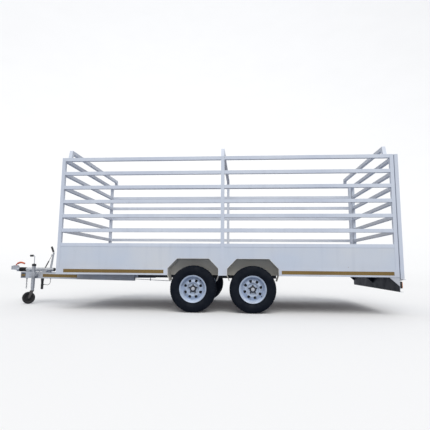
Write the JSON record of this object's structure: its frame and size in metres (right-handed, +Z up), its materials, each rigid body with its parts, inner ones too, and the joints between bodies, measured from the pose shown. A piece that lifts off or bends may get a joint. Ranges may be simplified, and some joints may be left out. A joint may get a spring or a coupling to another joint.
{
  "type": "livestock trailer",
  "caption": "Open-top livestock trailer with barred sides, tandem wheels, full-height swing gate, A-frame drawbar, overrun coupling, handbrake and jockey wheel.",
  "frame": {"origin": "on the ground, under the middle of the whole trailer's box", "axes": "+X from the coupling to the rear gate, +Y to the side away from the jockey wheel, +Z up"},
  "size_m": [6.335, 2.2012, 2.394],
  "materials": {
    "body_paint": "satin off-white paint",
    "panel_paint": "satin off-white paint on sheet",
    "guard_paint": "satin paint, dusty inside",
    "frame_paint": "satin light grey paint",
    "chassis_black": "satin black paint",
    "plywood": "waterproof plywood",
    "tape": "reflective tape",
    "lamp_base": "moulded",
    "lens_red": "clear red",
    "zinc": "zinc plated",
    "cast_head": "zinc plated casting",
    "chain_steel": "galvanized",
    "black_rubber": "matt",
    "tyre_rubber": "matt",
    "rim_paint": "satin white-silver paint",
    "hub_steel": "dark steel with bright nuts",
    "arm_steel": "satin black paint",
    "red_plastic": "moulded",
    "black_plastic": "moulded",
    "gas_strut": "satin black paint",
    "bright_rod": "ground and plated"
  },
  "bodies": {
    "trailer": {"body_panels": "panel_paint", "chassis_rails": "body_paint", "cross_members": "frame_paint", "drawbar_beams": "frame_paint", "floor_boards": "plywood", "front_bars": "body_paint", "side_bars": "body_paint", "posts": "body_paint", "roof_bows": "body_paint", "wheel_boxes": "guard_paint", "light_board": "body_paint", "tail_lamps": "lamp_base", "lamp_lenses": "lens_red", "reflective_tape": "tape", "axle_tubes": "arm_steel", "nose_plate": "frame_paint", "coupling_housing": "zinc", "overrun_damper": "black_plastic", "gate_lugs": "body_paint", "latch_keeper": "body_paint", "jockey_clamp": "zinc", "plug_holder": "black_plastic", "plug": "black_plastic", "plug_cable": "black_rubber", "bellows": "black_rubber"},
    "gate": {"gate_stiles": "body_paint", "gate_bars": "body_paint", "gate_panel": "panel_paint"},
    "drop_bolt": {"latch_bolt": "zinc"},
    "draw_gear": {"draw_shaft": "zinc", "coupling_head": "cast_head"},
    "release_handle": {"coupling_handle": "red_plastic"},
    "chain": {"safety_chain": "chain_steel"},
    "handbrake": {"handbrake_lever": "zinc", "handbrake_grip": "black_plastic"},
    "strut_body": {"strut_cylinder": "gas_strut"},
    "strut_piston": {"strut_rod": "bright_rod"},
    "brake_pull": {"brake_rod": "zinc"},
    "jockey_outer": {"jockey_tube": "zinc"},
    "jockey_inner": {"jockey_inner_tube": "zinc"},
    "jockey_winder": {"jockey_crank": "zinc"},
    "jockey_swivel": {"jockey_fork": "zinc"},
    "jockey_roller": {"jockey_wheel": "black_rubber"},
    "clamp_handle": {"clamp_lever": "zinc"},
    "arm_near_front": {"swing_arm_near_front": "arm_steel"},
    "wheel_near_front": {"tyre_near_front": "tyre_rubber", "rim_near_front": "rim_paint", "hub_near_front": "hub_steel"},
    "arm_near_rear": {"swing_arm_near_rear": "arm_steel"},
    "wheel_near_rear": {"tyre_near_rear": "tyre_rubber", "rim_near_rear": "rim_paint", "hub_near_rear": "hub_steel"},
    "arm_far_front": {"swing_arm_far_front": "arm_steel"},
    "wheel_far_front": {"tyre_far_front": "tyre_rubber", "rim_far_front": "rim_paint", "hub_far_front": "hub_steel"},
    "arm_far_rear": {"swing_arm_far_rear": "arm_steel"},
    "wheel_far_rear": {"tyre_far_rear": "tyre_rubber", "rim_far_rear": "rim_paint", "hub_far_rear": "hub_steel"}
  },
  "joints": [
    {"name": "gate_hinge", "type": "hinge", "parent": "trailer", "child": "gate", "pos_m": [3.1095, 1.075, 1.4], "axis": [0, 0, 1], "range_deg": [0, 180]},
    {"name": "bolt_slide", "type": "slide", "parent": "gate", "child": "drop_bolt", "axis": [0, 0, 1], "range_m": [-0.05, 0]},
    {"name": "overrun_slide", "type": "slide", "parent": "trailer", "child": "draw_gear", "axis": [1, 0, 0], "range_m": [0, 0.08], "deforming": ["bellows"]},
    {"name": "release_hinge", "type": "hinge", "parent": "draw_gear", "child": "release_handle", "pos_m": [-3.0875, 0, 0.635], "axis": [0, 1, 0], "range_deg": [-50, 0]},
    {"name": "chain_swing", "type": "hinge", "parent": "trailer", "child": "chain", "pos_m": [-2.8725, 0, 0.411], "axis": [0, 1, 0], "range_deg": [-35, 35]},
    {"name": "handbrake_hinge", "type": "hinge", "parent": "trailer", "child": "handbrake", "pos_m": [-2.4765, 0.046, 0.58], "axis": [0, 1, 0], "range_deg": [-50, 0]},
    {"name": "strut_hinge", "type": "hinge", "parent": "trailer", "child": "strut_body", "pos_m": [-2.5925, 0.062, 0.588], "axis": [0, 1, 0], "range_deg": [-52.3, 1]},
    {"name": "strut_slide", "type": "slide", "parent": "strut_body", "child": "strut_piston", "axis": [0.4502, 0, 0.8929], "range_m": [-0.0992, 0.001]},
    {"name": "brake_slide", "type": "slide", "parent": "trailer", "child": "brake_pull", "axis": [0.9991, 0, -0.0428], "range_m": [-0.001, 0.062]},
    {"name": "jockey_lift", "type": "slide", "parent": "trailer", "child": "jockey_outer", "axis": [0, 0, 1], "range_m": [-0.04, 0.14]},
    {"name": "jockey_wind", "type": "slide", "parent": "jockey_outer", "child": "jockey_inner", "axis": [0, 0, 1], "range_m": [-0.15, 0.03]},
    {"name": "crank_turn", "type": "hinge", "parent": "jockey_outer", "child": "jockey_winder", "pos_m": [-2.6575, -0.18029, 0.72], "axis": [0, 0, 1], "range_deg": [-4500.5, 900.5]},
    {"name": "jockey_swivel_turn", "type": "hinge", "parent": "jockey_inner", "child": "jockey_swivel", "pos_m": [-2.6575, -0.18029, 0.23], "axis": [0, 0, 1], "continuous": true},
    {"name": "jockey_roll", "type": "hinge", "parent": "jockey_swivel", "child": "jockey_roller", "pos_m": [-2.69846, -0.20897, 0.1], "axis": [-0.5736, 0.8192, 0], "continuous": true},
    {"name": "clamp_turn", "type": "hinge", "parent": "trailer", "child": "clamp_handle", "pos_m": [-2.5995, -0.18029, 0.48], "axis": [0, 1, 0], "range_deg": [0, 90]},
    {"name": "suspension_near_front", "type": "hinge", "parent": "trailer", "child": "arm_near_front", "pos_m": [0.07555, -0.87, 0.39639], "axis": [0, 1, 0], "range_deg": [-12, 10], "stiffness_Nm_per_rad": 2600, "springref_deg": 6.3},
    {"name": "roll_near_front", "type": "hinge", "parent": "arm_near_front", "child": "wheel_near_front", "pos_m": [0.2115, -0.985, 0.333], "axis": [0, 1, 0], "continuous": true},
    {"name": "suspension_near_rear", "type": "hinge", "parent": "trailer", "child": "arm_near_rear", "pos_m": [0.93055, -0.87, 0.39639], "axis": [0, 1, 0], "range_deg": [-12, 10], "stiffness_Nm_per_rad": 2600, "springref_deg": 6.3},
    {"name": "roll_near_rear", "type": "hinge", "parent": "arm_near_rear", "child": "wheel_near_rear", "pos_m": [1.0665, -0.985, 0.333], "axis": [0, 1, 0], "continuous": true},
    {"name": "suspension_far_front", "type": "hinge", "parent": "trailer", "child": "arm_far_front", "pos_m": [0.07555, 0.87, 0.39639], "axis": [0, 1, 0], "range_deg": [-12, 10], "stiffness_Nm_per_rad": 2600, "springref_deg": 6.3},
    {"name": "roll_far_front", "type": "hinge", "parent": "arm_far_front", "child": "wheel_far_front", "pos_m": [0.2115, 0.985, 0.333], "axis": [0, 1, 0], "continuous": true},
    {"name": "suspension_far_rear", "type": "hinge", "parent": "trailer", "child": "arm_far_rear", "pos_m": [0.93055, 0.87, 0.39639], "axis": [0, 1, 0], "range_deg": [-12, 10], "stiffness_Nm_per_rad": 2600, "springref_deg": 6.3},
    {"name": "roll_far_rear", "type": "hinge", "parent": "arm_far_rear", "child": "wheel_far_rear", "pos_m": [1.0665, 0.985, 0.333], "axis": [0, 1, 0], "continuous": true}
  ],
  "couplings": [
    {"joint": "strut_hinge", "follows": "handbrake_hinge", "ratio": 1.0254},
    {"joint": "strut_slide", "follows": "handbrake_hinge", "m_per_rad": 0.1125},
    {"joint": "brake_slide", "follows": "handbrake_hinge", "m_per_rad": -0.07},
    {"joint": "crank_turn", "follows": "jockey_wind", "rad_per_m": 523.6}
  ]
}
